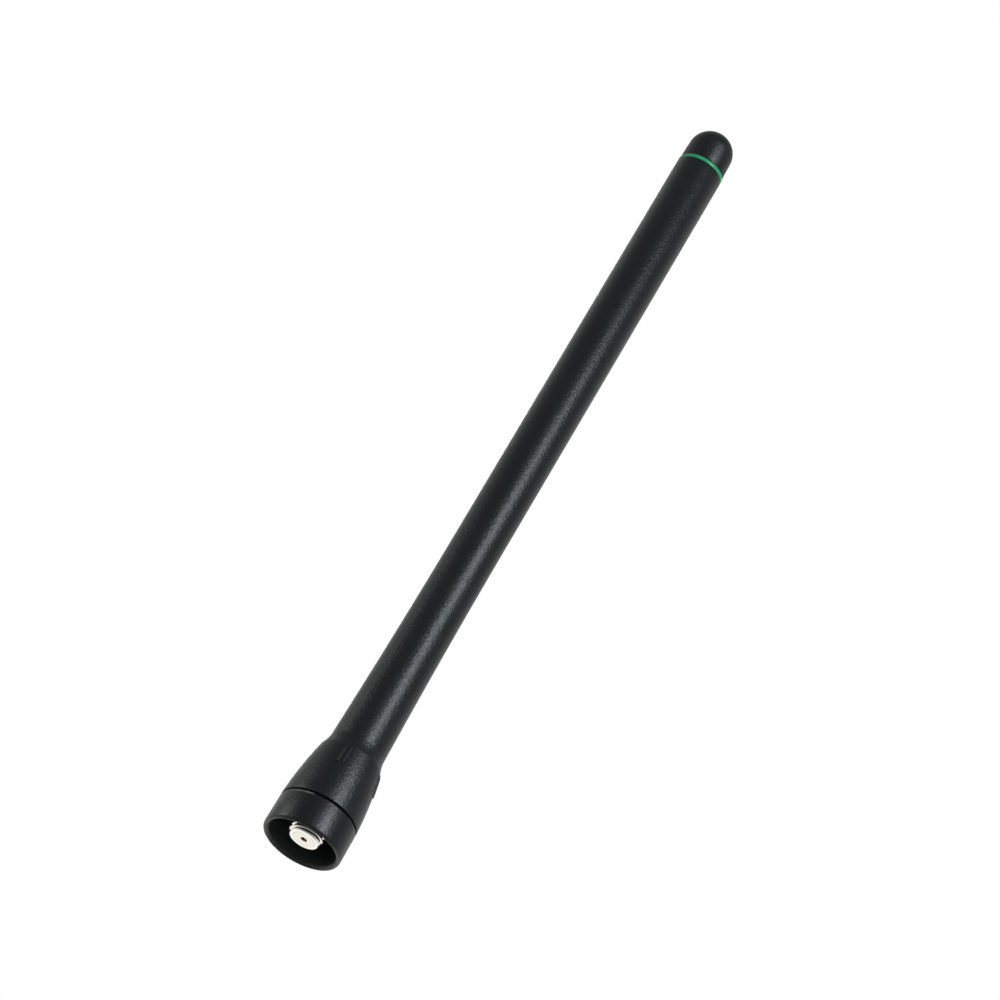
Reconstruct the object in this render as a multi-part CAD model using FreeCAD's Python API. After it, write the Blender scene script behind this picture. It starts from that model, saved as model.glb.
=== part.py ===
import FreeCAD, Part
import math
import os

# Helical whip antenna of a hand-held two-way radio, in millimetres.
# It stands on the rim of its skirt: the origin is the centre of that rim's plane, and +Z runs up the
# rod to the tip. Every piece but the slotted contact, the coil and the keyed or ribbed ones is round
# about Z, so a piece is drawn as its half section in radius and height and turned.

V = FreeCAD.Vector

# Clearances between pieces that are fitted into each other
press_gap = 0.02
slide_gap = 0.05
end_gap = 0.2

# Skirt ring, the hard collar round the threaded stud
skirt_height = 6.5
skirt_wall = 1.005
skirt_bore_step = 0.025
skirt_draft = 0.08
skirt_rim_chamfer = 0.5
skirt_lip_width = 0.3
skirt_lip_height = 0.5
skirt_top_chamfer = 0.3
cup_depth = 5.2
neck_height = 2.1
neck_wall = 0.5

# Base insert, the rigid cup that carries the connector
insert_recess = 1.2
insert_floor = 1.6
insert_height = 6.6
insert_wall = 1.1
insert_flange = 0.8
insert_ledge = 0.4
insert_flat_depth = 0.35
insert_nut_room = 0.18

# Threaded connector shell
thread_radius = 3.175
thread_chamfer = 0.47
stud_recess = 1.2
relief_width = 0.5
relief_depth = 0.45
shell_flange_radius = 4.4
shell_flange = 0.8
shell_neck_radius = 3.15
shell_flat_depth = 0.35
tail_radius = 3.0
tail_past_nut = 0.9

# Lock washer and hexagon nut on the shell's tail
washer_thickness = 0.5
washer_radius = 4.5
washer_slit = 0.4
nut_thickness = 2.0
nut_sides = 6
nut_across_flats = 8.0
nut_chamfer_angle = 30.0

# Insulator between the shell and the centre contact
insulator_front_radius = 2.05
insulator_rear_radius = 2.4
insulator_front_length = 5.8
insulator_nose_radius = 1.5
insulator_nose_length = 0.8

# Slotted centre contact
contact_radius = 0.635
contact_bore = 0.47
contact_bore_depth = 3.0
contact_recess = 0.1
contact_lead_in = 0.1
contact_slot_width = 0.15
contact_slot_depth = 2.4
contact_collar_radius = 0.95
contact_front_length = 7.2
contact_pin_radius = 0.45
contact_pin_length = 3.0

# Bush that closes the insert and centres the feed ferrule
bush_flange = 1.2
bush_floor = 0.8
bush_height = 6.2

# Feed ferrule, the brass foot of the coil
ferrule_radius = 2.6
ferrule_shoulder = 0.6
ferrule_spigot_length = 4.0

# Radiator coil, a flat strip wound round the core
strip_thickness = 0.6
strip_rise = 1.7
coil_bore = 2.5
coil_turns = 12
coil_head_room = 1.6

# Shrink sleeve over the coil
sleeve_wall = 0.25

# Outer sheath, the moulded rod
sheath_wall = 1.07
sheath_length = 138.3
sheath_draft = 0.07
sheath_flare = 0.645
sheath_flare_length = 50.6
sheath_spigot_wall = 0.91
sheath_foot_step = 0.6
sheath_foot_height = 1.2

# Boot over the foot of the rod
groove_width = 0.3
boot_height = 14.6
boot_foot_step = 0.01
boot_belly_draft = 0.24
boot_belly_height = 4.7
boot_waist_swell = 0.764
boot_waist_height = 8.2
boot_shoulder_step = 0.705
boot_shoulder_drop = 2.65
boot_shoulder_hollow = 0.11
boot_lip = 0.02
rib_pairs = 4
rib_drop = 0.3
rib_length = 4.15
rib_width = 0.4
rib_height = 0.15
rib_spacing = 0.95

# Colour band and tip cap
band_width = 0.9
band_step = 0.02
cap_step = 0.12
cap_draft = 0.09
cap_side_height = 3.9
cap_stem_length = 4.5
cap_stem_chamfer = 0.4

# Heights of the seats, each from the one it rests on
skirt_top_z = skirt_height
neck_top_z = skirt_top_z + neck_height
floor_z = cup_depth + insert_recess
floor_top_z = floor_z + insert_floor
insert_top_z = floor_z + insert_height
ledge_z = insert_top_z - bush_flange
nut_z = floor_top_z + washer_thickness
shell_top_z = nut_z + nut_thickness + tail_past_nut
insulator_step_z = stud_recess + insulator_front_length
insulator_top_z = shell_top_z + insulator_nose_length
contact_front_z = stud_recess + contact_recess
contact_collar_z = stud_recess + contact_front_length
ferrule_z = ledge_z + bush_floor
bush_top_z = ledge_z + bush_height
shoulder_top_z = bush_top_z + ferrule_shoulder
spigot_top_z = shoulder_top_z + ferrule_spigot_length
boot_z = skirt_top_z + groove_width
boot_top_z = boot_z + boot_height
shoulder_z = boot_top_z - boot_shoulder_drop
rib_top_z = shoulder_z - rib_drop
sheath_top_z = boot_top_z + sheath_length
stem_z = sheath_top_z - cap_stem_length
cap_z = sheath_top_z + band_width
core_top_z = stem_z - end_gap

# Radii round the connector, from the nut outwards to the boot's foot
nut_corner_radius = nut_across_flats / 2 / math.cos(math.pi / nut_sides)
insert_bore = nut_corner_radius + insert_nut_room
insert_radius = insert_bore + insert_wall
bush_radius = insert_bore + insert_ledge - slide_gap
neck_bore = insert_radius + slide_gap
neck_radius = neck_bore + neck_wall
skirt_bore = neck_radius + skirt_bore_step
skirt_radius = skirt_bore + skirt_wall
skirt_top_radius = skirt_radius - skirt_draft
boot_foot_radius = skirt_top_radius + boot_foot_step

# Radii of the rod, from the core outwards to the boot's shoulder
core_radius = coil_bore - press_gap
coil_radius = coil_bore + strip_thickness
sleeve_bore = coil_radius + press_gap
sleeve_radius = sleeve_bore + sleeve_wall
sheath_bore = sleeve_radius + press_gap
bush_tube_radius = sheath_bore - press_gap
stem_radius = sheath_bore - press_gap
sheath_spigot_radius = sheath_bore + sheath_spigot_wall
sheath_foot_radius = sheath_spigot_radius + sheath_foot_step
sheath_radius = sheath_bore + sheath_wall
sheath_flare_radius = sheath_radius + sheath_draft
sheath_base_radius = sheath_flare_radius + sheath_flare
boot_top_radius = sheath_base_radius + boot_lip
boot_shoulder_radius = boot_top_radius + boot_shoulder_step
band_radius = sheath_radius - band_step
cap_radius = sheath_radius - cap_step


def corner(radius, height):
    return V(radius, 0, height)


def line(start, end):
    return Part.makeLine(start, end)


def curve(*poles):
    """A smooth curve that leaves its first pole and meets its last one along the poles between."""
    drawn = Part.BezierCurve()
    drawn.setPoles(list(poles))
    return drawn.toShape()


def outline(*corners):
    """The closed half section through corners given as (radius, height)."""
    points = [corner(*each) for each in corners]
    return [line(start, end) for start, end in zip(points, points[1:] + points[:1])]


def turned(edges):
    """The solid that a closed half section makes when it turns once about Z."""
    section = Part.Face(Part.Wire(edges))
    return section.revolve(V(0, 0, 0), V(0, 0, 1), 360)


def tube(radius, bore, low, high):
    return turned(outline((bore, low), (radius, low), (radius, high), (bore, high)))


def rod(radius, low, high):
    return Part.makeCylinder(radius, high - low, V(0, 0, low))


def flatted(radius, flat_depth, low, high):
    """A rod with two flats, which stops it turning in a hole of the same form."""
    half_width = radius - flat_depth
    slab = Part.makeBox(2 * radius, 2 * half_width, high - low, V(-radius, -half_width, low))
    return rod(radius, low, high).common(slab)


def skirt_ring():
    """Cup-shaped collar: a thin rim below, a thick floor at cup depth and a neck for the boot."""
    return turned(
        outline(
            (skirt_bore, cup_depth),
            (skirt_bore, skirt_lip_height),
            (skirt_bore + skirt_lip_width, 0),
            (skirt_radius - skirt_rim_chamfer, 0),
            (skirt_radius, skirt_rim_chamfer),
            (skirt_top_radius, skirt_top_z - skirt_top_chamfer),
            (skirt_top_radius - skirt_top_chamfer, skirt_top_z),
            (neck_radius, skirt_top_z),
            (neck_radius, neck_top_z),
            (neck_bore, neck_top_z),
            (neck_bore, cup_depth),
        )
    )


def insert_outer(gap):
    """The insert's outside above the skirt's neck, grown by a gap for the boot that is moulded on it."""
    flange = rod(neck_radius + gap, neck_top_z, neck_top_z + insert_flange + gap)
    barrel = flatted(insert_radius + gap, insert_flat_depth, neck_top_z, insert_top_z)
    return flange.fuse(barrel)


def base_insert():
    """Rigid cup in the skirt's neck, with a flatted hole in its floor for the connector."""
    foot = rod(insert_radius, floor_z, neck_top_z)
    body = foot.fuse(insert_outer(0))
    well = rod(insert_bore, floor_top_z, ledge_z)
    mouth = rod(bush_radius + slide_gap, ledge_z, insert_top_z)
    hole = flatted(shell_neck_radius + slide_gap, shell_flat_depth, floor_z, floor_top_z)
    return body.cut(well).cut(mouth).cut(hole).removeSplitter()


def connector_shell():
    """Nickel-plated brass: stud and seating flange below the insert's floor, threaded tail above it."""
    flange_z = floor_z - shell_flange
    relief_radius = thread_radius - relief_depth
    relief_z = flange_z - relief_width
    stud = turned(
        outline(
            (0, stud_recess),
            (thread_radius - thread_chamfer, stud_recess),
            (thread_radius, stud_recess + thread_chamfer),
            (thread_radius, relief_z - relief_depth),
            (relief_radius, relief_z),
            (relief_radius, flange_z),
            (shell_flange_radius, flange_z),
            (shell_flange_radius, floor_z),
            (0, floor_z),
        )
    )
    neck = flatted(shell_neck_radius, shell_flat_depth, floor_z, floor_top_z)
    tail = rod(tail_radius, floor_top_z, shell_top_z)
    front_bore = rod(insulator_front_radius + press_gap, stud_recess, insulator_step_z)
    rear_bore = rod(insulator_rear_radius + press_gap, insulator_step_z, shell_top_z)
    return stud.fuse([neck, tail]).cut(front_bore).cut(rear_bore).removeSplitter()


def lock_washer():
    """Spring washer with one slit."""
    ring = tube(washer_radius, tail_radius + slide_gap, floor_top_z, nut_z)
    slit = Part.makeBox(
        washer_radius, washer_slit, washer_thickness, V(0, -washer_slit / 2, floor_top_z)
    )
    return ring.cut(slit)


def hex_nut():
    """Hexagon nut with its upper corners chamfered."""
    flat_radius = nut_across_flats / 2
    top_z = nut_z + nut_thickness
    corners = []
    for side in range(nut_sides):
        angle = 2 * math.pi * side / nut_sides
        corners.append(V(math.cos(angle), math.sin(angle), 0) * nut_corner_radius + V(0, 0, nut_z))
    hexagon = Part.Face(Part.makePolygon(corners + corners[:1]))
    blank = hexagon.extrude(V(0, 0, nut_thickness))
    drop = (nut_corner_radius - flat_radius) * math.tan(math.radians(nut_chamfer_angle))
    chamfer = turned(
        outline(
            (0, nut_z),
            (nut_corner_radius, nut_z),
            (nut_corner_radius, top_z - drop),
            (flat_radius, top_z),
            (0, top_z),
        )
    )
    return blank.common(chamfer).cut(rod(tail_radius + press_gap, nut_z, top_z))


def connector_insulator():
    """Fluoropolymer bead, flush with the stud's face and stepped so that it can't be pushed out."""
    bead = turned(
        outline(
            (0, stud_recess),
            (insulator_front_radius, stud_recess),
            (insulator_front_radius, insulator_step_z),
            (insulator_rear_radius, insulator_step_z),
            (insulator_rear_radius, shell_top_z),
            (insulator_nose_radius, shell_top_z),
            (insulator_nose_radius, insulator_top_z),
            (0, insulator_top_z),
        )
    )
    front = rod(contact_radius + press_gap, stud_recess, contact_collar_z)
    rear = rod(contact_collar_radius + press_gap, contact_collar_z, insulator_top_z)
    return bead.cut(front).cut(rear)


def centre_contact():
    """Socket of springy bronze: four tines in front, a collar in the bead and a solder pin behind."""
    pin_top_z = insulator_top_z + contact_pin_length
    body = turned(
        outline(
            (contact_bore + contact_lead_in, contact_front_z),
            (contact_radius, contact_front_z),
            (contact_radius, contact_collar_z),
            (contact_collar_radius, contact_collar_z),
            (contact_collar_radius, insulator_top_z),
            (contact_pin_radius, insulator_top_z),
            (contact_pin_radius, pin_top_z),
            (0, pin_top_z),
            (0, contact_front_z + contact_bore_depth),
            (contact_bore, contact_front_z + contact_bore_depth),
            (contact_bore, contact_front_z + contact_lead_in),
        )
    )
    across = 2 * contact_radius
    slots = [
        Part.makeBox(
            across, contact_slot_width, contact_slot_depth,
            V(-contact_radius, -contact_slot_width / 2, contact_front_z),
        ),
        Part.makeBox(
            contact_slot_width, across, contact_slot_depth,
            V(-contact_slot_width / 2, -contact_radius, contact_front_z),
        ),
    ]
    return body.cut(slots)


def feed_bush():
    """Insulating plug on the insert's ledge; its tube centres the ferrule and carries the sheath."""
    body = turned(
        outline(
            (insulator_nose_radius + slide_gap, ledge_z),
            (bush_radius, ledge_z),
            (bush_radius, insert_top_z),
            (bush_tube_radius, insert_top_z),
            (bush_tube_radius, bush_top_z),
            (ferrule_radius + slide_gap, bush_top_z),
            (ferrule_radius + slide_gap, ferrule_z),
            (insulator_nose_radius + slide_gap, ferrule_z),
        )
    )
    return body


def feed_ferrule():
    """Brass ferrule: the contact's pin is soldered in below, and the coil on the spigot above."""
    blank = turned(
        outline(
            (0, ferrule_z),
            (ferrule_radius, ferrule_z),
            (ferrule_radius, bush_top_z),
            (coil_radius, bush_top_z),
            (coil_radius, shoulder_top_z),
            (core_radius, shoulder_top_z),
            (core_radius, spigot_top_z),
            (0, spigot_top_z),
        )
    )
    pin_top_z = insulator_top_z + contact_pin_length
    return blank.cut(rod(contact_pin_radius + press_gap, ferrule_z, pin_top_z + end_gap))


def radiator_coil():
    """Copper-plated steel strip in an even helix, from the ferrule's shoulder to below the core's top."""
    start_z = shoulder_top_z
    helix_height = core_top_z - coil_head_room - strip_rise - start_z
    helix = Part.makeHelix(helix_height / coil_turns, helix_height, coil_bore)
    helix.translate(V(0, 0, start_z))
    section = outline(
        (coil_bore, start_z),
        (coil_radius, start_z),
        (coil_radius, start_z + strip_rise),
        (coil_bore, start_z + strip_rise),
    )
    return Part.Wire(helix.Edges).makePipeShell([Part.Wire(section)], True, True)


def core_rod():
    """Flexible rod that keeps the coil round when the whip is bent."""
    return rod(core_radius, spigot_top_z + end_gap, core_top_z)


def coil_sleeve():
    """Shrink tube that holds the turns where they were wound."""
    return tube(sleeve_radius, sleeve_bore, bush_top_z, core_top_z)


def outer_sheath():
    """Moulded rod cover: a trapped foot and spigot inside the boot, then a flare to the slim rod."""
    foot_top_z = insert_top_z + sheath_foot_height
    flare_radius = (sheath_flare_length ** 2 + sheath_flare ** 2) / (2 * sheath_flare)
    half_turn = math.asin(sheath_flare_length / flare_radius) / 2
    base = corner(sheath_base_radius, boot_top_z)
    flare_top = corner(sheath_flare_radius, boot_top_z + sheath_flare_length)
    flare_centre = flare_top + V(flare_radius, 0, 0)
    flare_middle = flare_centre - V(math.cos(half_turn), 0, math.sin(half_turn)) * flare_radius
    path = [
        flare_top,
        corner(sheath_radius, sheath_top_z),
        corner(sheath_bore, sheath_top_z),
        corner(sheath_bore, insert_top_z),
        corner(sheath_foot_radius, insert_top_z),
        corner(sheath_foot_radius, foot_top_z),
        corner(sheath_spigot_radius, foot_top_z),
        corner(sheath_spigot_radius, boot_top_z),
        base,
    ]
    edges = [line(start, end) for start, end in zip(path, path[1:])]
    edges.append(Part.Arc(base, flare_middle, flare_top).toShape())
    return turned(edges)


def boot_side(proud=0):
    """The boot's side in half section, from its foot to its shoulder, moved out by a height."""
    return curve(
        corner(boot_foot_radius + proud, boot_z),
        corner(boot_foot_radius - boot_belly_draft + proud, boot_z + boot_belly_height),
        corner(boot_shoulder_radius + boot_waist_swell + proud, boot_z + boot_waist_height),
        corner(boot_shoulder_radius + proud, shoulder_z),
    )


def boot_ribs():
    """Pairs of thin straight ribs that follow the boot's side down from its shoulder."""
    side_foot = corner(boot_foot_radius + rib_height, boot_z)
    side_top = corner(boot_shoulder_radius + rib_height, shoulder_z)
    path = [side_top, corner(0, shoulder_z), corner(0, boot_z), side_foot]
    edges = [line(start, end) for start, end in zip(path, path[1:])]
    stock = turned([boot_side(rib_height)] + edges)
    root = sheath_spigot_radius
    reach = boot_foot_radius + rib_height - root
    ribs = []
    for pair in range(rib_pairs):
        for side in (-1, 1):
            left = side * rib_spacing / 2 - rib_width / 2
            slab = Part.makeBox(rib_width, reach, rib_length, V(left, -root - reach, rib_top_z - rib_length))
            slab.rotate(V(0, 0, 0), V(0, 0, 1), 360 * pair / rib_pairs)
            ribs.append(stock.common(slab))
    return ribs


def base_boot():
    """Soft boot over the insert and the foot of the rod, with pairs of grip ribs at its shoulder."""
    foot_top_z = insert_top_z + sheath_foot_height
    top = corner(boot_top_radius, boot_top_z)
    shoulder = corner(boot_shoulder_radius, shoulder_z)
    foot = corner(boot_foot_radius, boot_z)
    slope = (top - shoulder).normalize()
    middle = (shoulder + top) / 2 - V(slope.z, 0, -slope.x) * boot_shoulder_hollow
    hollow_side = Part.Arc(shoulder, middle, top).toShape()
    path = [top, corner(0, boot_top_z), corner(0, boot_z), foot]
    edges = [line(start, end) for start, end in zip(path, path[1:])]
    body = turned([boot_side(), hollow_side] + edges).fuse(boot_ribs())
    hollow = [
        rod(neck_radius + slide_gap, boot_z, neck_top_z),
        insert_outer(slide_gap),
        rod(sheath_foot_radius + slide_gap, insert_top_z, foot_top_z + slide_gap),
        rod(sheath_spigot_radius + slide_gap, foot_top_z, boot_top_z),
    ]
    return body.cut(hollow).removeSplitter()


def band_ring():
    """Coloured ring on the cap's stem, which marks the frequency range."""
    return tube(band_radius, sheath_bore, sheath_top_z, cap_z)


def tip_cap():
    """Domed cap with a stem that plugs the sheath."""
    dome_z = cap_z + cap_side_height
    dome_radius = cap_radius - cap_draft
    dome_foot = corner(dome_radius, dome_z)
    dome_top = corner(0, dome_z + dome_radius)
    dome_middle = corner(0, dome_z) + V(1, 0, 1).normalize() * dome_radius
    path = [
        dome_top,
        corner(0, stem_z),
        corner(stem_radius - cap_stem_chamfer, stem_z),
        corner(stem_radius, stem_z + cap_stem_chamfer),
        corner(stem_radius, cap_z),
        corner(cap_radius, cap_z),
        dome_foot,
    ]
    edges = [line(start, end) for start, end in zip(path, path[1:])]
    edges.append(Part.Arc(dome_foot, dome_middle, dome_top).toShape())
    return turned(edges)


pieces = {
    "skirt_ring": skirt_ring(),
    "base_insert": base_insert(),
    "connector_shell": connector_shell(),
    "lock_washer": lock_washer(),
    "hex_nut": hex_nut(),
    "connector_insulator": connector_insulator(),
    "centre_contact": centre_contact(),
    "feed_bush": feed_bush(),
    "feed_ferrule": feed_ferrule(),
    "radiator_coil": radiator_coil(),
    "core_rod": core_rod(),
    "coil_sleeve": coil_sleeve(),
    "outer_sheath": outer_sheath(),
    "base_boot": base_boot(),
    "band_ring": band_ring(),
    "tip_cap": tip_cap(),
}

os.makedirs("parts", exist_ok=True)
for name, shape in pieces.items():
    shape.exportStep(f"parts/{name}.step")
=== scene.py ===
import math

import bmesh
import bpy
from mathutils import Euler, Matrix, Vector
from mathutils.geometry import interpolate_bezier


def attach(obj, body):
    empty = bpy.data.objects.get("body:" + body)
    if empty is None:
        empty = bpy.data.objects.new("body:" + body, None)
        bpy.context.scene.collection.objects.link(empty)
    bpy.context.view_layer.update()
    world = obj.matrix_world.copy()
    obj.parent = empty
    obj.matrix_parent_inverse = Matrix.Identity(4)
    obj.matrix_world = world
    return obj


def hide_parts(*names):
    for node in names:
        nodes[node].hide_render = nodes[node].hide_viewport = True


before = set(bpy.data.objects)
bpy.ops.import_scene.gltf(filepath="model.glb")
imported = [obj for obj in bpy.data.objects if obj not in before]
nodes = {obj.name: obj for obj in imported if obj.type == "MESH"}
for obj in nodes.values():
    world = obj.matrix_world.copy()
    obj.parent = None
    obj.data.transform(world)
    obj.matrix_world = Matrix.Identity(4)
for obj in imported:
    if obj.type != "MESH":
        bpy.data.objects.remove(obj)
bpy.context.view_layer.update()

# Connector shell: the nickel-plated brass stud that screws into the radio's jack.
# It is turned from bar: a 36-to-the-inch thread behind a chamfered, flush face, a relief, a seating
# flange and a plain tail that the lock washer and nut hold in the insert.
MM = 0.001
THREAD_PITCH = 25.4 / 36
THREAD_TURNS = 9
THREAD_START = 1.28
THREAD_RADIUS = 3.175
THREAD_DEPTH = 0.433
THREAD_CREST = THREAD_PITCH / 8
THREAD_ROOT = THREAD_PITCH / 6
THREAD_RUN_OUT = 0.45
STUD_FACE_Z = 1.2
STUD_CHAMFER = 0.47
STUD_BORE = 2.07
BORE_CHAMFER = 0.05
RELIEF_Z = 5.1
EDGE_BREAK = 0.1
FLANGE_Z = 5.6
FLANGE_TOP_Z = 6.4
FLANGE_RADIUS = 4.4
SHANK_RADIUS = 3.1
SHANK_TOP_Z = 8.0
TAIL_RADIUS = 3.0
TAIL_TOP_Z = 11.4
TAIL_BORE = 2.42
TAIL_BORE_Z = 7.0
NICKEL = (0.97, 0.96, 0.93)
NICKEL_DULL = (0.94, 0.89, 0.80)


class Value:
    """A shader socket that can be written in sums; each sum adds its Math node."""

    def __init__(self, finish, socket):
        self.finish = finish
        self.socket = socket

    def sum_with(self, operation, first, second):
        return self.finish.node("ShaderNodeMath", {"operation": operation}, {0: first, 1: second})

    def __add__(self, other):
        return self.sum_with("ADD", self, other)

    def __sub__(self, other):
        return self.sum_with("SUBTRACT", self, other)

    def __rsub__(self, other):
        return self.sum_with("SUBTRACT", other, self)

    def __mul__(self, other):
        return self.sum_with("MULTIPLY", self, other)

    def __or__(self, other):
        return self.sum_with("MAXIMUM", self, other)

    __radd__ = __add__
    __rmul__ = __mul__
    __ror__ = __or__


class Finish:
    """A material, or the world, whose nodes are all made by one method."""

    def __init__(self, name, owner=None):
        self.owner = owner or bpy.data.materials.new(name)
        self.owner.use_nodes = True
        self.tree = self.owner.node_tree
        self.tree.nodes.clear()

    def node(self, kind, settings=None, sockets=None, output=0):
        """Adds a node: its settings first, then the values or links of its sockets."""
        made = self.tree.nodes.new(kind)
        for name, setting in (settings or {}).items():
            setattr(made, name, setting)
        for name, value in (sockets or {}).items():
            if isinstance(value, Value):
                self.tree.links.new(value.socket, made.inputs[name])
            elif isinstance(value, tuple) and made.inputs[name].type == "RGBA":
                made.inputs[name].default_value = (*value, 1)
            else:
                made.inputs[name].default_value = value
        return Value(self, made.outputs[output]) if made.outputs else None

    def place(self, stretch=(1, 1, 1)):
        """Object coordinates, stretched along an axis where a finish runs one way."""
        coordinates = self.node("ShaderNodeTexCoord", output="Object")
        return self.node("ShaderNodeMapping", {}, {"Vector": coordinates, "Scale": stretch})

    def from_axis(self):
        """How far a point lies from the rod's axis."""
        sockets = {0: self.place((1, 1, 0))}
        return self.node("ShaderNodeVectorMath", {"operation": "LENGTH"}, sockets, "Value")

    def noise(self, size_mm, detail=2.0, stretch=(1, 1, 1)):
        """Noise whose grains are about size_mm across."""
        sockets = {"Vector": self.place(stretch), "Scale": 1 / (size_mm * MM), "Detail": detail}
        return self.node("ShaderNodeTexNoise", {}, sockets, "Fac")

    def blend(self, factor, first, second):
        """A colour between two, by a factor."""
        sockets = {0: factor, 6: first, 7: second}
        return self.node("ShaderNodeMix", {"data_type": "RGBA"}, sockets, 2)

    def ramp(self, value, start, end):
        """Rises from 0 to 1 while the value goes from start to end, and stays there."""
        sockets = {"Value": value, "From Min": start, "From Max": end}
        return self.node("ShaderNodeMapRange", {}, sockets)

    def bump(self, height, depth_mm, strength=1.0):
        """A normal that follows a height, depth_mm from its lowest to its highest."""
        sockets = {"Height": height, "Distance": depth_mm * MM, "Strength": strength}
        return self.node("ShaderNodeBump", {}, sockets)

    def shade(self, **sockets):
        """Closes the material with a Principled shader and returns it."""
        named = {name.replace("_", " "): value for name, value in sockets.items()}
        shader = self.node("ShaderNodeBsdfPrincipled", {}, named)
        self.node("ShaderNodeOutputMaterial", {}, {"Surface": shader})
        return self.owner


def plated(name, colour, dull, roughness, patch=None, patch_colour=None):
    """Plated or bare metal: fine turning marks round the axis and a faint cloud of handling."""
    finish = Finish(name)
    turning = finish.noise(0.08, 3.0, (0.15, 0.15, 1.0))
    cloud = finish.noise(1.6, 4.0)
    tone = finish.blend(cloud, colour, dull)
    # A patch paints its colour over the tone; on the contact it is painted shade in the bore.
    if patch:
        tone = finish.blend(patch(finish), tone, patch_colour)
    return finish.shade(
        Base_Color=tone,
        Metallic=1.0,
        Roughness=cloud * 0.10 + turning * 0.06 + (roughness - 0.08),
        Normal=finish.bump(turning, 0.004, 0.5),
    )


def wired(corners):
    """A bmesh that holds one open line through corners given as (radius, height) in millimetres."""
    line = bmesh.new()
    verts = [line.verts.new((radius * MM, 0, height * MM)) for radius, height in corners]
    for start, end in zip(verts, verts[1:]):
        line.edges.new((start, end))
    return line


def spun(line, steps=128, lift_mm=0.0):
    """Spins the line once about Z, rising by a lift, and merges the seam and the poles."""
    bmesh.ops.spin(
        line,
        geom=line.verts[:] + line.edges[:],
        cent=(0, 0, 0),
        axis=(0, 0, 1),
        dvec=(0, 0, lift_mm * MM / steps),
        angle=2 * math.pi,
        steps=steps,
        use_merge=lift_mm == 0,
    )
    bmesh.ops.remove_doubles(line, verts=line.verts[:], dist=0.001 * MM)
    return line


def carried(shape, edges, radius, height):
    """Extrudes a ring of edges to a radius and height in millimetres and returns the new ring."""
    made = bmesh.ops.extrude_edge_only(shape, edges=edges)["geom"]
    for vert in (item for item in made if isinstance(item, bmesh.types.BMVert)):
        flat = vert.co.xy.normalized() * radius * MM
        vert.co = (*flat, height * MM)
    return [item for item in made if isinstance(item, bmesh.types.BMEdge)]


def ring_at(shape, height):
    """The open edges that lie at a height in millimetres."""
    level = height * MM
    return [
        edge for edge in shape.edges
        if edge.is_boundary and all(abs(v.co.z - level) < 0.002 * MM for v in edge.verts)
    ]


def finished(name, shape, material, slot, *replaced):
    """Turns a bmesh into a piece of the object with its finish, riding on the one body."""
    bmesh.ops.recalc_face_normals(shape, faces=shape.faces[:])
    mesh = bpy.data.meshes.new(name)
    shape.to_mesh(mesh)
    shape.free()
    mesh.shade_smooth()
    mesh.set_sharp_from_angle(angle=math.radians(32))
    mesh.materials.append(material)
    piece = bpy.data.objects.new(name, mesh)
    bpy.context.collection.objects.link(piece)
    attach(piece, "root")
    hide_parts(*replaced)


thread_root = THREAD_RADIUS - THREAD_DEPTH
relief_radius = thread_root - 0.01
flank = (THREAD_PITCH - THREAD_CREST - THREAD_ROOT) / 2
ridge_line = []
for ridge in range(THREAD_TURNS):
    foot = STUD_FACE_Z + (ridge - THREAD_START) * THREAD_PITCH
    ridge_line += [
        (thread_root, foot),
        (thread_root, foot + THREAD_ROOT),
        (THREAD_RADIUS, foot + THREAD_ROOT + flank),
        (THREAD_RADIUS, foot + THREAD_ROOT + flank + THREAD_CREST),
    ]
stud = wired(ridge_line)
bmesh.ops.subdivide_edges(stud, edges=stud.edges[:], cuts=2, use_grid_fill=False)
spun(stud, 144, THREAD_PITCH)
for vert in stud.verts:
    height = vert.co.z / MM
    front_cone = THREAD_RADIUS - STUD_CHAMFER + height - STUD_FACE_Z
    rear_cone = max(THREAD_RADIUS + RELIEF_Z - THREAD_RUN_OUT - height, relief_radius)
    radius = min(vert.co.xy.length / MM, front_cone, rear_cone)
    flat = vert.co.xy.normalized() * radius * MM
    vert.co = (*flat, vert.co.z)
for level, side in ((STUD_FACE_Z, -1), (RELIEF_Z, 1)):
    bmesh.ops.bisect_plane(
        stud, geom=stud.verts[:] + stud.edges[:] + stud.faces[:], dist=1e-7,
        plane_co=(0, 0, level * MM), plane_no=(0, 0, side), clear_outer=True,
    )
front_ring = ring_at(stud, STUD_FACE_Z)
front_ring = carried(stud, front_ring, STUD_BORE + BORE_CHAMFER, STUD_FACE_Z)
front_ring = carried(stud, front_ring, STUD_BORE, STUD_FACE_Z + BORE_CHAMFER)
rear_ring = ring_at(stud, RELIEF_Z)
for corner in (
    (relief_radius, FLANGE_Z),
    (FLANGE_RADIUS - EDGE_BREAK, FLANGE_Z),
    (FLANGE_RADIUS, FLANGE_Z + EDGE_BREAK),
    (FLANGE_RADIUS, FLANGE_TOP_Z),
    (SHANK_RADIUS, FLANGE_TOP_Z),
    (SHANK_RADIUS, SHANK_TOP_Z),
    (TAIL_RADIUS, SHANK_TOP_Z),
    (TAIL_RADIUS, TAIL_TOP_Z - EDGE_BREAK),
    (TAIL_RADIUS - EDGE_BREAK, TAIL_TOP_Z),
    (TAIL_BORE, TAIL_TOP_Z),
    (TAIL_BORE, TAIL_BORE_Z),
    (STUD_BORE, TAIL_BORE_Z),
):
    rear_ring = carried(stud, rear_ring, *corner)
bmesh.ops.bridge_loops(stud, edges=front_ring + rear_ring)
nickel_plate = plated("nickel_plate", NICKEL, NICKEL_DULL, 0.12)
finished("threaded_stud", stud, nickel_plate, "nickel_plate", "connector_shell")
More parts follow.
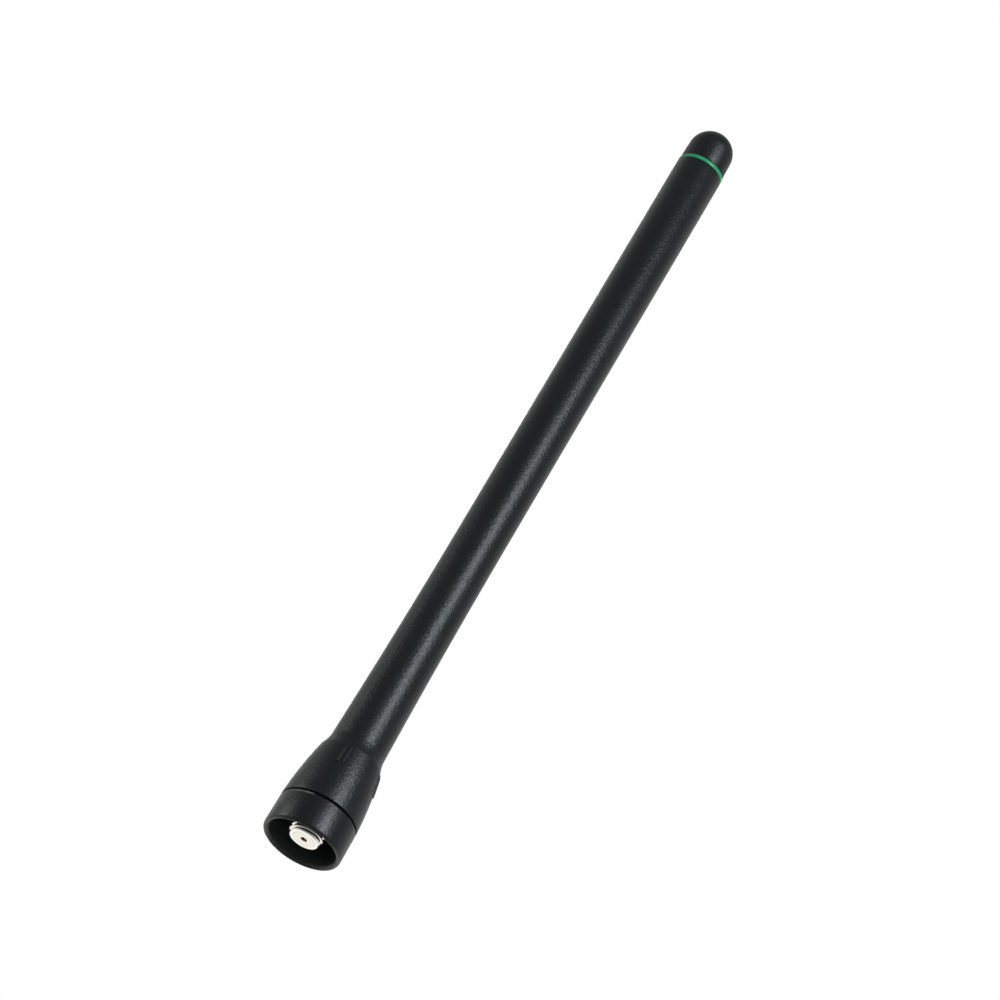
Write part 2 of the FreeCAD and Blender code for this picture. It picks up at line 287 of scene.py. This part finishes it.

# Insulator bead and centre contact, pressed into the stud from behind.
# The bead is white fluoropolymer, flush with the stud's face. The contact is gold-plated spring
# bronze, slotted into four tines round a hole for the jack's pin; the hole's wall is painted dark
# as painted shade.
BEAD_WHITE = (0.95, 0.93, 0.87)
BEAD_CREAM = (0.92, 0.89, 0.81)
CONTACT_GOLD = (0.86, 0.66, 0.32)
CONTACT_BRONZE = (0.74, 0.52, 0.24)
CONTACT_BORE = 0.47
# Colour of the painted shade in the contact's bore.
BORE_PAINTED_SHADE = (0.014, 0.011, 0.006)


def refinished(node, material):
    """Gives a carried-over CAD node its own finish."""
    nodes[node].material_slots[0].material = material


def contact_bore_shade(finish):
    """Painted shade: the bore between the tines, painted dark where shade falls in the hole."""
    return finish.ramp(finish.from_axis(), (CONTACT_BORE + 0.12) * MM, (CONTACT_BORE + 0.05) * MM)


fluoropolymer = Finish("fluoropolymer")
bead_cloud = fluoropolymer.noise(0.8, 3.0)
bead_rings = fluoropolymer.noise(0.06, 2.0, (0.2, 0.2, 1.0))
refinished("connector_insulator", fluoropolymer.shade(
    Base_Color=fluoropolymer.blend(bead_cloud, BEAD_WHITE, BEAD_CREAM),
    Roughness=bead_cloud * 0.12 + 0.34,
    Normal=fluoropolymer.bump(bead_rings, 0.003, 0.5),
))
# The contact's finish paints its bore dark: painted shade.
gold_plate = plated("gold_plate", CONTACT_GOLD, CONTACT_BRONZE, 0.24, contact_bore_shade, BORE_PAINTED_SHADE)
refinished("centre_contact", gold_plate)

# Lock washer and hexagon nut, which hold the stud in the insert from above.
# The washer is plated spring steel, stamped and slit; the nut is nickel-plated brass, turned from
# hexagon bar.
refinished("lock_washer", plated("spring_steel", (0.56, 0.55, 0.53), (0.44, 0.43, 0.41), 0.36))
refinished("hex_nut", plated("nut_plate", (0.74, 0.72, 0.68), (0.62, 0.59, 0.54), 0.30))

# Skirt ring: the hard black collar that hides the jack once the antenna is screwed down.
# It is moulded in satin plastic with a full, rounded rim that slopes inwards, and its neck is
# pressed into the foot of the boot. The rim is painted paler on two sides, and an arc of the top
# edge is painted light: both are painted highlights.
SKIRT_RADIUS = 7.478
SKIRT_TOP_RADIUS = 7.398
SKIRT_TOP_Z = 6.5
SKIRT_BORE = 6.474
RIM_RADIUS = 7.08
RIM_Z = 0.12
CUP_Z = 5.2
NECK_RADIUS = 6.449
NECK_BORE = 5.949
NECK_TOP_Z = 8.6
SKIRT_BLACK = (0.0030, 0.0046, 0.0048)
SKIRT_GREY = (0.0060, 0.0075, 0.0082)
# Colour of the painted highlights on the skirt's rim and top edge.
PAINTED_HIGHLIGHT = (0.17, 0.165, 0.15)


def moulded(
    name, colour, cast, roughness, grain_mm, grain_depth_mm,
    gloss=0.5, patch=None, patch_colour=None, dull=None,
):
    """Moulded plastic or rubber: an even fine grain with a little unevenness of tone and shine."""
    finish = Finish(name)
    grain = finish.noise(grain_mm, 3.0)
    cloud = finish.noise(2.5, 4.0)
    sheen = finish.noise(0.7, 2.0)
    tone = finish.blend(cloud * 0.6 + grain * 0.4, colour, cast)
    dullness = sheen * 0.16 + cloud * 0.08 + (roughness - 0.12)
    if patch:
        # A patch paints its colour over the tone and roughens it; on the skirt it is painted
        # highlight.
        highlight_patch = patch(finish)
        tone = finish.blend(highlight_patch, tone, patch_colour)
        dullness = dullness + highlight_patch * 0.3
    if dull:
        dullness = dullness + dull(finish) * 0.15
    return finish.shade(
        Base_Color=tone,
        Roughness=dullness,
        Normal=finish.bump(grain, grain_depth_mm),
        Specular_IOR_Level=gloss,
    )


def curved(count, *corners):
    """Points along a Bezier curve, from its four corners as (radius, height) in millimetres."""
    return [tuple(point) for point in interpolate_bezier(*map(Vector, corners), count)]


def rounded(shape, corner, radius, segments):
    """Rounds the ring of edges at a corner given as (radius, height) in millimetres."""
    ring = []
    for edge in shape.edges:
        ends = [(v.co.xy.length / MM, v.co.z / MM) for v in edge.verts]
        if all(abs(r - corner[0]) < 0.005 and abs(z - corner[1]) < 0.005 for r, z in ends):
            ring.append(edge)
    bmesh.ops.bevel(
        shape, geom=ring, offset=radius * MM, segments=segments, profile=0.5,
        affect="EDGES", material=-1,
    )


def toward(finish, degrees):
    """How far a point lies in a level direction, given as degrees from -Y towards +X."""
    side = math.radians(degrees)
    sockets = {0: finish.place(), 1: (math.sin(side), -math.cos(side), 0)}
    return finish.node("ShaderNodeVectorMath", {"operation": "DOT_PRODUCT"}, sockets, "Value")


def skirt_painted_highlights(finish):
    """Painted highlights: the rim on two sides, and a broken arc of the top edge on the side
    between -X and -Y.
    """
    height = finish.node("ShaderNodeSeparateXYZ", {}, {"Vector": finish.place()}, "Z")
    across = toward(finish, 105)
    sides = finish.ramp(across, 4.5 * MM, 6.5 * MM) | finish.ramp(across, -4.5 * MM, -6.5 * MM)
    rim = sides * finish.ramp(height, 0.6 * MM, 0.25 * MM)
    near = finish.ramp(toward(finish, -36), 6.2 * MM, 6.8 * MM)
    arc = near * finish.ramp(height, 6.0 * MM, 6.15 * MM)
    broken = finish.ramp(finish.noise(0.9, 2.0), 0.36, 0.56)
    return rim * 0.15 | arc * (0.6 + broken * 0.4)


def skirt_bore(finish):
    """The wall of the bore, which was left as it came out of the mould."""
    return finish.ramp(finish.from_axis(), RIM_RADIUS * MM, (SKIRT_BORE + 0.1) * MM)


rim_inside = curved(9, (SKIRT_BORE, 0.7), (6.56, 0.5), (6.92, RIM_Z), (RIM_RADIUS, RIM_Z))
rim_outside = curved(
    9, (RIM_RADIUS, RIM_Z), (7.30, RIM_Z), (SKIRT_RADIUS, 0.42), (SKIRT_RADIUS, 0.85)
)
skirt = spun(wired([
    (SKIRT_BORE, CUP_Z),
    *rim_inside,
    *rim_outside[1:],
    (SKIRT_TOP_RADIUS, SKIRT_TOP_Z),
    (NECK_RADIUS, SKIRT_TOP_Z),
    (NECK_RADIUS, NECK_TOP_Z),
    (NECK_BORE, NECK_TOP_Z),
    (NECK_BORE, CUP_Z),
    (SKIRT_BORE, CUP_Z),
]))
rounded(skirt, (SKIRT_TOP_RADIUS, SKIRT_TOP_Z), 0.28, 3)
# The skirt's rim sides and an arc of its top edge get painted highlights.
skirt_plastic = moulded(
    "skirt_plastic", SKIRT_BLACK, SKIRT_GREY, 0.34, 0.50, 0.055, 0.5, skirt_painted_highlights, PAINTED_HIGHLIGHT, skirt_bore
)
finished("skirt_collar", skirt, skirt_plastic, "skirt_plastic", "skirt_ring")

# Base insert: the rigid cup that ties stud, skirt and boot together.
# It is moulded in glass-filled plastic, which leaves it dull and a little brown, and is keyed by
# flats to the stud. The boot is moulded over it.
INSERT_BLACK = (0.009, 0.008, 0.008)
INSERT_GREY = (0.014, 0.012, 0.012)
insert_plastic = moulded("insert_plastic", INSERT_BLACK, INSERT_GREY, 0.60, 0.12, 0.010, 0.3)
refinished("base_insert", insert_plastic)

# Feed: a natural plastic bush closes the insert and centres a turned brass ferrule, into which the
# contact's pin is soldered from below.
bush_plastic = moulded("bush_plastic", (0.70, 0.66, 0.58), (0.62, 0.58, 0.50), 0.46, 0.2, 0.008)
refinished("feed_bush", bush_plastic)
refinished("feed_ferrule", plated("ferrule_brass", (0.78, 0.60, 0.30), (0.66, 0.48, 0.22), 0.28))

# Radiator: copper-plated spring-steel strip, wound round a flexible core and soldered to the
# ferrule, with a thin shrink sleeve over it that keeps its turns in place.
refinished("radiator_coil", plated("coil_copper", (0.74, 0.40, 0.26), (0.62, 0.30, 0.18), 0.30))
core_plastic = moulded("core_plastic", (0.62, 0.60, 0.55), (0.54, 0.52, 0.47), 0.5, 0.3, 0.006)
refinished("core_rod", core_plastic)
sleeve_film = moulded(
    "sleeve_plastic", (0.022, 0.022, 0.024), (0.032, 0.032, 0.034), 0.38, 0.4, 0.006
)
refinished("coil_sleeve", sleeve_film)

# Outer sheath: the rod itself, moulded over the sleeve in a matte thermoplastic rubber.
# It flares gently towards the boot, where a hidden foot keeps it from being pulled out.
BOOT_TOP_Z = 21.4
SHEATH_TOP_Z = 159.7
SHEATH_RADIUS = 4.459
SHEATH_SLIM = 4.529
SHEATH_FLARE = 0.645
SHEATH_FLARE_LENGTH = 50.6
SHEATH_BORE = 3.39
SHEATH_FOOT_Z = 13.0
SHEATH_FOOT_TOP_Z = 14.2
SHEATH_FOOT_RADIUS = 4.9
SHEATH_ANKLE_RADIUS = 4.299
RUBBER_BLACK = (0.0040, 0.0068, 0.0070)
RUBBER_GREY = (0.0075, 0.0108, 0.0114)
flare = curved(
    24,
    (SHEATH_SLIM + SHEATH_FLARE, BOOT_TOP_Z),
    (SHEATH_SLIM + SHEATH_FLARE / 3, BOOT_TOP_Z + SHEATH_FLARE_LENGTH / 3),
    (SHEATH_SLIM, BOOT_TOP_Z + SHEATH_FLARE_LENGTH * 2 / 3),
    (SHEATH_SLIM, BOOT_TOP_Z + SHEATH_FLARE_LENGTH),
)
sheath = spun(wired([
    (SHEATH_BORE, SHEATH_FOOT_Z),
    (SHEATH_FOOT_RADIUS, SHEATH_FOOT_Z),
    (SHEATH_FOOT_RADIUS, SHEATH_FOOT_TOP_Z),
    (SHEATH_ANKLE_RADIUS, SHEATH_FOOT_TOP_Z),
    (SHEATH_ANKLE_RADIUS, BOOT_TOP_Z),
    *flare,
    (SHEATH_RADIUS, SHEATH_TOP_Z),
    (SHEATH_BORE, SHEATH_TOP_Z),
    (SHEATH_BORE, SHEATH_FOOT_Z),
]))
rounded(sheath, (SHEATH_RADIUS, SHEATH_TOP_Z), 0.08, 2)
sheath_rubber = moulded("sheath_rubber", RUBBER_BLACK, RUBBER_GREY, 0.36, 0.50, 0.070)
finished("rod_sheath", sheath, sheath_rubber, "sheath_rubber", "outer_sheath")

# Base boot: the soft cover over the insert and the foot of the rod, moulded in one piece.
# Its side narrows in one curve to a sloping shoulder, and four pairs of short thin ribs run down
# from the shoulder to give the fingers a grip when the antenna is screwed on.
BOOT_Z = 6.8
BOOT_FOOT = (7.408, BOOT_Z)
SHOULDER = (5.899, 18.75)
BOOT_COLLAR_RADIUS = 6.5
BOOT_COLLAR_Z = 9.45
BOOT_RECESS_RADIUS = 5.95
BOOT_FLOOR_Z = 13.0
BOOT_SOCKET_RADIUS = 4.95
BOOT_SOCKET_Z = 14.25
BOOT_BORE = 4.35
RIB_TOP_Z = 18.45
RIB_LENGTH = 4.15
RIB_WIDTH = 0.46
RIB_HEIGHT = 0.19
RIB_SINK = 0.45
RIB_ROUNDING = 0.17
RIB_SPACING = 0.95
boot_side = curved(28, BOOT_FOOT, (7.168, 11.5), (6.663, 15.0), SHOULDER)
boot_hollow = curved(14, SHOULDER, (5.524, 19.59), (5.286, 20.485), (5.194, BOOT_TOP_Z))
boot = spun(wired([
    (BOOT_COLLAR_RADIUS, BOOT_Z),
    *boot_side,
    *boot_hollow[1:],
    (BOOT_BORE, BOOT_TOP_Z),
    (BOOT_BORE, BOOT_SOCKET_Z),
    (BOOT_SOCKET_RADIUS, BOOT_SOCKET_Z),
    (BOOT_SOCKET_RADIUS, BOOT_FLOOR_Z),
    (BOOT_RECESS_RADIUS, BOOT_FLOOR_Z),
    (BOOT_RECESS_RADIUS, BOOT_COLLAR_Z),
    (BOOT_COLLAR_RADIUS, BOOT_COLLAR_Z),
    (BOOT_COLLAR_RADIUS, BOOT_Z),
]), 160)
rounded(boot, BOOT_FOOT, 0.12, 3)
rounded(boot, SHOULDER, 0.12, 3)


def boot_reach(height):
    """The radius of the boot's side at a height, both in millimetres."""
    return max(
        low[0] + (high[0] - low[0]) * (height - low[1]) / (high[1] - low[1])
        for low, high in zip(boot_side, boot_side[1:])
        if low[1] - 0.01 <= height <= high[1] + 0.01
    )


for turn in range(4):
    for side in (-1, 1):
        rib = bmesh.new()
        bmesh.ops.create_cube(rib, size=1)
        rib_size = Vector((RIB_WIDTH, RIB_HEIGHT + RIB_SINK, RIB_LENGTH))
        bmesh.ops.scale(rib, vec=rib_size * MM, verts=rib.verts[:])
        crest = [edge for edge in rib.edges if all(v.co.y > 0 for v in edge.verts)]
        bmesh.ops.bevel(
            rib, geom=crest, offset=RIB_ROUNDING * MM, segments=4, profile=0.5,
            affect="EDGES", material=-1,
        )
        upright = [edge for edge in rib.edges if abs(edge.verts[0].co.z - edge.verts[1].co.z) > MM]
        bmesh.ops.subdivide_edges(rib, edges=upright, cuts=9, use_grid_fill=True)
        for vert in rib.verts:
            height = RIB_TOP_Z - RIB_LENGTH / 2 + vert.co.z / MM
            proud = boot_reach(height) + vert.co.y / MM + (RIB_HEIGHT - RIB_SINK) / 2
            across = vert.co.x / MM + side * RIB_SPACING / 2
            vert.co = Vector((across, math.sqrt(proud ** 2 - across ** 2), height)) * MM
        quarter = Euler((0, 0, turn * math.pi / 2)).to_matrix()
        bmesh.ops.rotate(rib, verts=rib.verts[:], cent=(0, 0, 0), matrix=quarter)
        rib_mesh = bpy.data.meshes.new("rib")
        rib.to_mesh(rib_mesh)
        rib.free()
        boot.from_mesh(rib_mesh)
        bpy.data.meshes.remove(rib_mesh)
boot_rubber = moulded("boot_rubber", RUBBER_BLACK, RUBBER_GREY, 0.36, 0.50, 0.070)
finished("ribbed_boot", boot, boot_rubber, "boot_rubber", "base_boot")

# Band ring: the thin green ring, gripped between rod and cap, which tells the frequency range.
# It is moulded plastic. A step on its upper face keeps the cap off its edge, which leaves a fine
# groove.
BAND_RADIUS = 4.439
BAND_TOP_Z = 160.43
BAND_SEAT = 4.1
CAP_Z = 160.6
BAND_GREEN = (0.014, 0.34, 0.13)
BAND_PALE = (0.020, 0.38, 0.16)
band = spun(wired([
    (SHEATH_BORE, SHEATH_TOP_Z),
    (BAND_RADIUS, SHEATH_TOP_Z),
    (BAND_RADIUS, BAND_TOP_Z),
    (BAND_SEAT, BAND_TOP_Z),
    (BAND_SEAT, CAP_Z),
    (SHEATH_BORE, CAP_Z),
    (SHEATH_BORE, SHEATH_TOP_Z),
]))
rounded(band, (BAND_RADIUS, SHEATH_TOP_Z), 0.05, 2)
rounded(band, (BAND_RADIUS, BAND_TOP_Z), 0.05, 2)
band_green = moulded("band_green", BAND_GREEN, BAND_PALE, 0.40, 0.25, 0.006)
finished("green_band", band, band_green, "band_green", "band_ring")

# Tip cap: a domed plug of the sheath's rubber.
# It is glued into the end of the rod by its stem, with the band under its edge.
CAP_RADIUS = 4.339
DOME_RADIUS = 4.249
DOME_Z = 164.5
STEM_Z = 155.2
STEM_RADIUS = 3.37
STEM_CHAMFER = 0.4
dome = wired([(DOME_RADIUS, DOME_Z)])
bmesh.ops.spin(
    dome, geom=dome.verts[:], cent=(0, 0, DOME_Z * MM), axis=(0, -1, 0),
    angle=math.pi / 2, steps=24,
)
side_line = [
    (0.0, STEM_Z),
    (STEM_RADIUS - STEM_CHAMFER, STEM_Z),
    (STEM_RADIUS, STEM_Z + STEM_CHAMFER),
    (STEM_RADIUS, CAP_Z),
    (CAP_RADIUS, CAP_Z),
    (DOME_RADIUS, DOME_Z),
]
verts = [dome.verts.new((radius * MM, 0, height * MM)) for radius, height in side_line]
for start, end in zip(verts, verts[1:]):
    dome.edges.new((start, end))
bmesh.ops.remove_doubles(dome, verts=dome.verts[:], dist=0.001 * MM)
cap = spun(dome)
rounded(cap, (CAP_RADIUS, CAP_Z), 0.1, 3)
cap_rubber = moulded("cap_rubber", RUBBER_BLACK, RUBBER_GREY, 0.40, 0.50, 0.050)
finished("domed_cap", cap, cap_rubber, "cap_rubber", "tip_cap")

# Stage: a pale paper floor in the plane of the rim.
# It is seen only from above, so that the camera can look into the mouth from below.
floor_shape = bmesh.new()
bmesh.ops.create_grid(floor_shape, x_segments=1, y_segments=1, size=3.0)
floor_mesh = bpy.data.meshes.new("floor")
floor_shape.to_mesh(floor_mesh)
floor_shape.free()
floor = bpy.data.objects.new("floor", floor_mesh)
bpy.context.collection.objects.link(floor)
paper = Finish("floor_paper")
unseen = 1 - paper.node("ShaderNodeLightPath", output="Is Camera Ray")
hidden = paper.node("ShaderNodeNewGeometry", output="Backfacing") | unseen
lit = paper.node("ShaderNodeBsdfDiffuse", {}, {"Color": (0.45, 0.45, 0.45)})
pale = paper.node("ShaderNodeEmission", {}, {"Color": (1.0, 1.0, 1.0), "Strength": 0.55})
white = paper.node("ShaderNodeAddShader", {}, {0: lit, 1: pale})
clear = paper.node("ShaderNodeBsdfTransparent")
seen = paper.node("ShaderNodeMixShader", {}, {0: hidden, 1: white, 2: clear})
paper.node("ShaderNodeOutputMaterial", {}, {"Surface": seen})
floor_mesh.materials.append(paper.owner)

# Studio: a white surround, which reflections see grey in front of the rod and white behind it, and
# large soft lamps, set round the object by azimuth and elevation. The lamp under the mouth is there
# for the bead and shows in no reflection.
SURROUND_LIGHT = 0.3
FRONT_TONE = 0.2
FRONT_DIRECTION = (0.17, -0.88, 0.45)
surround = bpy.data.worlds.new("surround")
bpy.context.scene.world = surround
sky = Finish("surround", surround)
seen_directly = sky.node("ShaderNodeLightPath", output="Is Camera Ray")
shown = (
    sky.node("ShaderNodeLightPath", output="Is Glossy Ray")
    | sky.node("ShaderNodeLightPath", output="Is Transmission Ray")
)
direction = sky.node("ShaderNodeTexCoord", output="Generated")
front = sky.node(
    "ShaderNodeVectorMath", {"operation": "DOT_PRODUCT"},
    {0: direction, 1: FRONT_DIRECTION}, "Value",
)
rise = sky.node("ShaderNodeSeparateXYZ", {}, {"Vector": direction}, "Z")
behind = sky.ramp(front, 0.4, -1.0) * sky.ramp(rise, -0.95, -0.65)
mirrored = shown * (FRONT_TONE + behind * (1 - FRONT_TONE))
strength = seen_directly | mirrored | SURROUND_LIGHT - shown * SURROUND_LIGHT
background = sky.node(
    "ShaderNodeBackground", {}, {"Color": (1.0, 1.0, 1.0), "Strength": strength}
)
sky.node("ShaderNodeOutputWorld", {}, {"Surface": background})


def lamp(name, azimuth, elevation, distance, width, height, power, colour=(1, 1, 1), roll=0):
    """A soft box that faces the lower half of the rod and isn't seen itself."""
    turn, rise = math.radians(azimuth), math.radians(elevation)
    level = math.cos(rise)
    away = Vector((math.sin(turn) * level, -math.cos(turn) * level, math.sin(rise)))
    light = bpy.data.lights.new(name, "AREA")
    light.shape = "RECTANGLE"
    light.size, light.size_y = width, height
    light.energy = power
    light.color = colour
    made = bpy.data.objects.new(name, light)
    made.location = Vector((0, 0, 0.06)) + away * distance
    facing = away.to_track_quat("Z", "Y").to_matrix() @ Matrix.Rotation(math.radians(roll), 3, "Z")
    made.rotation_euler = facing.to_euler()
    made.visible_camera = False
    bpy.context.collection.objects.link(made)
    return made


lamp("key_softbox", 42, 22, 0.8, 0.28, 0.50, 3.6, (0.84, 0.92, 1.0), 10)
lamp("left_card", -70, 10, 0.34, 0.2, 0.1, 0.18)
lamp("back_softbox", 195, 24, 0.9, 0.16, 0.5, 3.0, (0.92, 0.96, 1.0))
mouth_lamp = lamp("mouth_lamp", 75, -70, 0.9, 0.36, 0.36, 5.2, (1.0, 0.97, 0.92))
mouth_lamp.visible_glossy = False

# Camera: a long lens below the plane of the rim.
# The rod leans away from it to the upper right, and the mouth faces it at the lower left.
CAMERA_TURN = (123.64615, -26.26222, -3.37708)
camera_data = bpy.data.cameras.new("camera")
camera_data.lens = 252
camera_data.sensor_width = 36
camera_data.clip_start = 0.05
camera_data.clip_end = 20
camera = bpy.data.objects.new("camera", camera_data)
camera.location = (0.242456, -1.050716, -0.538471)
camera.rotation_euler = Euler([math.radians(turn) for turn in CAMERA_TURN])
bpy.context.collection.objects.link(camera)
bpy.context.scene.camera = camera
bpy.context.scene.view_settings.view_transform = "Standard"
